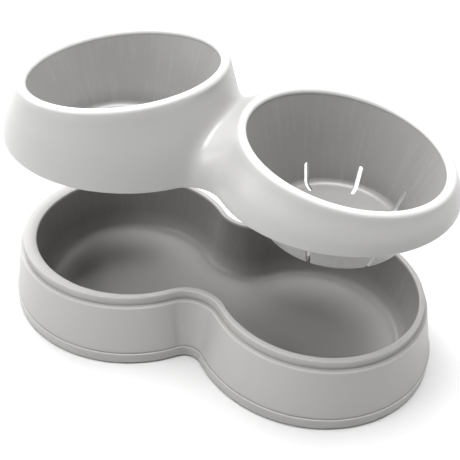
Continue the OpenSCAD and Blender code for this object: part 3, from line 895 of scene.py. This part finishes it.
def buildSlotTree():
    tree, given, out = newTree("cutSlots", [
        ("Geometry", "Geometry", None), ("Slot Count", "Int", 8), ("First Turn", "Float", 0.7),
        ("Slot Width", "Float", 0.0036), ("Slot Height", "Float", 0.0205), ("Reach", "Float", 0.0336),
        ("Start Radius", "Float", 0.0448), ("Overrun", "Float", 0.001), ("Bowl Centre", "Vector", None),
        ("Round Steps", "Int", 32), ("Material", "Material", None)])
    halfWidth = maths(tree, "MULTIPLY", given["Slot Width"], 0.5)
    straight = maths(tree, "SUBTRACT", given["Slot Height"], halfWidth)
    upright = maths(tree, "ADD", straight, given["Overrun"])
    midX = maths(tree, "MULTIPLY_ADD", given["Reach"], 0.5, given["Start Radius"])
    midZ = maths(tree, "MULTIPLY", maths(tree, "SUBTRACT", straight, given["Overrun"]), 0.5)

    def vector(x, y, z):
        return addNode(tree, "ShaderNodeCombineXYZ", {"X": x, "Y": y, "Z": z}).outputs[0]

    def moved(geometry, to, turn=(0, 0, 0)):
        return addNode(tree, "GeometryNodeTransform",
                       {"Geometry": geometry, "Translation": to, "Rotation": turn}).outputs[0]

    box = addNode(tree, "GeometryNodeMeshCube",
                  {"Size": vector(given["Reach"], given["Slot Width"], upright)})
    post = addNode(tree, "GeometryNodeMeshCylinder",
                   {"Vertices": given["Round Steps"], "Radius": halfWidth, "Depth": upright})
    bar = addNode(tree, "GeometryNodeMeshCylinder",
                  {"Vertices": given["Round Steps"], "Radius": halfWidth, "Depth": given["Reach"]})
    cutter = addNode(tree, "GeometryNodeMeshBoolean", operation="UNION", solver="MANIFOLD")
    for shape in (moved(box.outputs[0], vector(midX, 0.0, midZ)),
                  moved(post.outputs[0], vector(given["Start Radius"], 0.0, midZ)),
                  moved(bar.outputs[0], vector(midX, 0.0, straight), (0, pi / 2, 0))):
        tree.links.new(shape, cutter.inputs["Mesh 2"])
    spots = addNode(tree, "GeometryNodePoints",
                    {"Count": given["Slot Count"], "Position": given["Bowl Centre"]})
    index = addNode(tree, "GeometryNodeInputIndex").outputs[0]
    step = maths(tree, "DIVIDE", 2 * pi, given["Slot Count"])
    turn = maths(tree, "MULTIPLY_ADD", index, step, given["First Turn"])
    ring = addNode(tree, "GeometryNodeInstanceOnPoints",
                   {"Points": spots.outputs[0], "Instance": cutter.outputs[0],
                    "Rotation": vector(0.0, 0.0, turn)})
    cutters = addNode(tree, "GeometryNodeRealizeInstances", {"Geometry": ring.outputs[0]})
    cut = addNode(tree, "GeometryNodeMeshBoolean",
                  {"Mesh 1": given["Geometry"], "Mesh 2": cutters.outputs[0]},
                  operation="DIFFERENCE", solver="MANIFOLD")
    realized = addNode(tree, "GeometryNodeRealizeInstances", {"Geometry": cut.outputs[0]})
    finished = addNode(tree, "GeometryNodeSetMaterial",
                       {"Geometry": realized.outputs[0], "Material": given["Material"]})
    tree.links.new(finished.outputs[0], out["Geometry"])
    return tree


def cutSlots(piece, s):
    mesh = runTree(piece, buildSlotTree(), {
        "Slot Count": s["count"], "First Turn": radians(s["firstTurn"]), "Slot Width": s["width"] * mm,
        "Slot Height": s["height"] * mm, "Start Radius": s["start"] * mm, "Reach": s["reach"] * mm,
        "Overrun": s["overrun"] * mm, "Round Steps": s["roundSteps"],
        "Bowl Centre": [c * mm for c in s["centre"]], "Material": shellPlastic})
    swapMesh(piece, mesh)


topPiece, uncut = buildTopShell(top, topMarks)
cutSlots(topPiece, slots)
carryMarks(slots, topPiece.data, *uncut)
print("bowlTop cut,", len(topPiece.data.polygons), "faces, open edges", finishMesh(topPiece.data))


# ---- where each piece belongs ----
def place(piece, body, node):
    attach(piece, body)
    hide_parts(node)


place(trayPiece, "tray", "reservoir_tray")
place(topPiece, "top", "bowl_top")
for name, piece in footPieces.items():
    place(piece, "tray", feet["nodes"][name])
print("pieces placed")


# ---- pale floor and soft studio light ----
studio = {
    "floorRadius": 1.35, "floorColour": (0.74, 0.74, 0.74, 1), "worldColour": (1, 1, 1, 1),
    "worldStrength": 0.03, "horizonStrength": 0.72, "horizonEnds": (0.1, 0.3), "floorRoughness": 0.6,
    "lights": {   # place, looks at, size and power in watts
        "topSoftbox": ((0.0, 0.1, 1.7), (0, 0, 0.13), 1.2, 50),
        "leftBackSoftbox": ((-1.3, 0.9, 0.9), (0, 0, 0.13), 0.9, 18),
        "leftFrontSoftbox": ((-1.1, -1.2, 1.2), (0, 0, 0.13), 0.9, 12),
        "leftSoftbox": ((-1.5, -0.4, 0.8), (0, 0, 0.13), 1.0, 7),
        "rightBackFill": ((1.4, 0.8, 0.7), (0, 0, 0.13), 0.9, 3),
    },
}


def buildStudio(s):
    floor = linkObject("studioFloor", bpy.data.meshes.new("studioFloor"))
    work = bmesh.new()
    bmesh.ops.create_circle(work, cap_ends=True, segments=128, radius=s["floorRadius"])
    work.to_mesh(floor.data)
    work.free()
    paint = bpy.data.materials.new("paleFloor")
    paint.use_nodes = True
    shader = next(n for n in paint.node_tree.nodes if n.type == "BSDF_PRINCIPLED")
    shader.inputs["Base Color"].default_value = s["floorColour"]
    shader.inputs["Roughness"].default_value = s["floorRoughness"]
    floor.data.materials.append(paint)
    world = bpy.context.scene.world or bpy.data.worlds.new("studioWorld")
    bpy.context.scene.world = world
    world.use_nodes = True
    sky = next(n for n in world.node_tree.nodes if n.type == "BACKGROUND")
    sky.inputs["Color"].default_value = s["worldColour"]
    # pale round the horizon and dim above, like a low backdrop all round
    tree = world.node_tree
    way = addNode(tree, "ShaderNodeTexCoord").outputs["Generated"]
    height = addNode(tree, "ShaderNodeSeparateXYZ", {0: way}).outputs["Z"]
    glow = remap(tree, maths(tree, "ABSOLUTE", height), *s["horizonEnds"],
                 (s["horizonStrength"], s["worldStrength"]))
    tree.links.new(glow, sky.inputs["Strength"])
    for name, (spot, target, size, power) in s["lights"].items():
        data = bpy.data.lights.new(name, "AREA")
        data.size, data.energy = size, power
        light = bpy.data.objects.new(name, data)
        light.location = spot
        light.rotation_euler = (Vector(target) - Vector(spot)).to_track_quat("-Z", "Y").to_euler()
        bpy.context.scene.collection.objects.link(light)


buildStudio(studio)
bpy.context.scene.view_settings.view_transform = "Standard"   # keeps the pale floor white
print("studio built")
